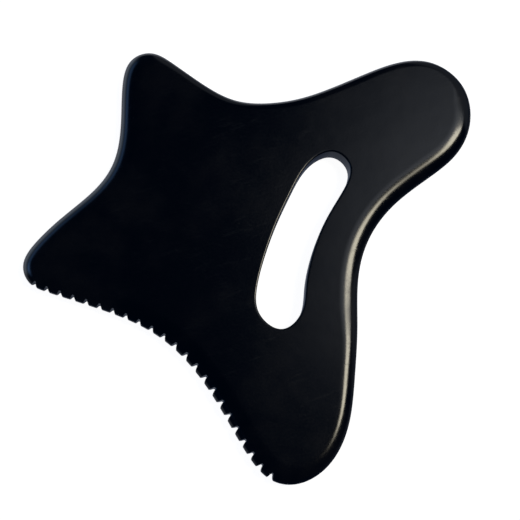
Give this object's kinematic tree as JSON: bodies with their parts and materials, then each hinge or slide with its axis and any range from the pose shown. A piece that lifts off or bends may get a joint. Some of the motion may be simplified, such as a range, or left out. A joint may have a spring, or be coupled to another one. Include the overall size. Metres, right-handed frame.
{
  "type": "gua sha scraper",
  "caption": "Flat gua sha scraper of black stone with rounded lobes, hollow edges, a comb edge and a curved finger slot.",
  "frame": {"origin": "middle of the outline's box, on the face that the scraper rests on", "axes": "+Z through the thickness, +X along the longer side of the outline towards the large head lobe, +Y away from the foot lobe"},
  "size_m": [0.163, 0.158, 0.008],
  "materials": {
    "black_stone": "satin hand polish on near-black stone"
  },
  "bodies": {
    "root": {"scraper": "black_stone"}
  },
  "joints": []
}
